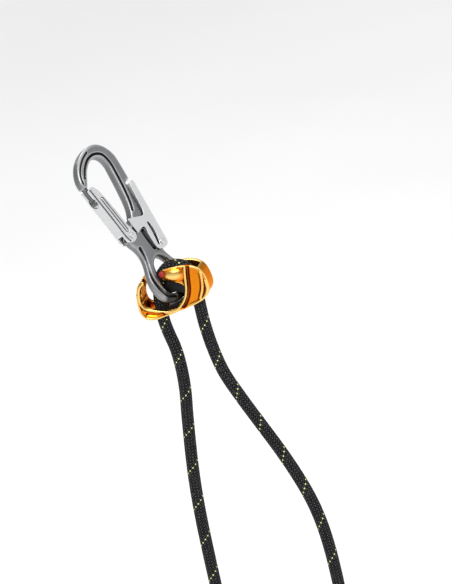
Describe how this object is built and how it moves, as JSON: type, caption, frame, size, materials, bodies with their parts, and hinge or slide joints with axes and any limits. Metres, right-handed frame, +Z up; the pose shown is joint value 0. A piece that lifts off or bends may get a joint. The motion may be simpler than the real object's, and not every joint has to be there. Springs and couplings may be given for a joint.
{
  "type": "rope adjuster with snap hook",
  "caption": "Gated snap hook with a captive eye through an open-mouthed rope adjuster, carrying a kernmantle rope that turns over the eye and ends in a sewn eye and a stop.",
  "frame": {"origin": "top of the inside of the hook's bow, in the middle of its thickness, where the hook hangs", "axes": "+Z up with the rope hanging plumb, +X along the bar of the hook's eye from the gate side to the spine side, +Y the way the hook's top leans"},
  "size_m": [0.0974, 0.1645, 0.5827],
  "materials": {
    "hook_alloy": "satin forged and anodised",
    "sheet_steel": "bright satin",
    "adjuster_alloy": "glossy orange anodised",
    "cam_alloy": "black anodised",
    "rope_sheath": "braided, black with a yellow-green tracer",
    "sleeve_film": "satin shrunk sleeve",
    "thimble_plastic": "satin",
    "keeper_plastic": "glossy red"
  },
  "bodies": {
    "hook": {"hook_body": "hook_alloy", "gate_rivet": "sheet_steel", "gate_spring": "sheet_steel", "lever_rivet": "sheet_steel", "lever_spring": "sheet_steel"},
    "gate": {"gate": "sheet_steel"},
    "lever": {"lock_lever": "sheet_steel"},
    "adjuster": {"adjuster_body": "adjuster_alloy", "mouth_keeper": "keeper_plastic", "friction_cam": "cam_alloy", "rope_turn": "rope_sheath", "rope_tail": "rope_sheath", "rope_lead": "rope_sheath", "tail_sleeve": "sleeve_film", "lead_sleeve": "sleeve_film", "lead_eye": "rope_sheath", "eye_thimble": "thimble_plastic"}
  },
  "joints": [
    {"name": "gate_swing", "type": "hinge", "parent": "hook", "child": "gate", "pos_m": [-0.0083, -0.03373, -0.0662], "axis": [0, 0.891, -0.454], "range_deg": [0, 25], "stiffness_Nm_per_rad": 0.12, "springref_deg": -28.65},
    {"name": "lever_squeeze", "type": "hinge", "parent": "hook", "child": "lever", "pos_m": [0.0166, -0.04149, -0.08144], "axis": [0, 0.891, -0.454], "range_deg": [-4.5, 0], "stiffness_Nm_per_rad": 0.2, "springref_deg": 22.92},
    {"name": "adjuster_tilt", "type": "hinge", "parent": "hook", "child": "adjuster", "pos_m": [0.006, -0.06356, -0.12474], "axis": [0.848, 0.5299, 0], "range_deg": [-1.5, 8]}
  ]
}
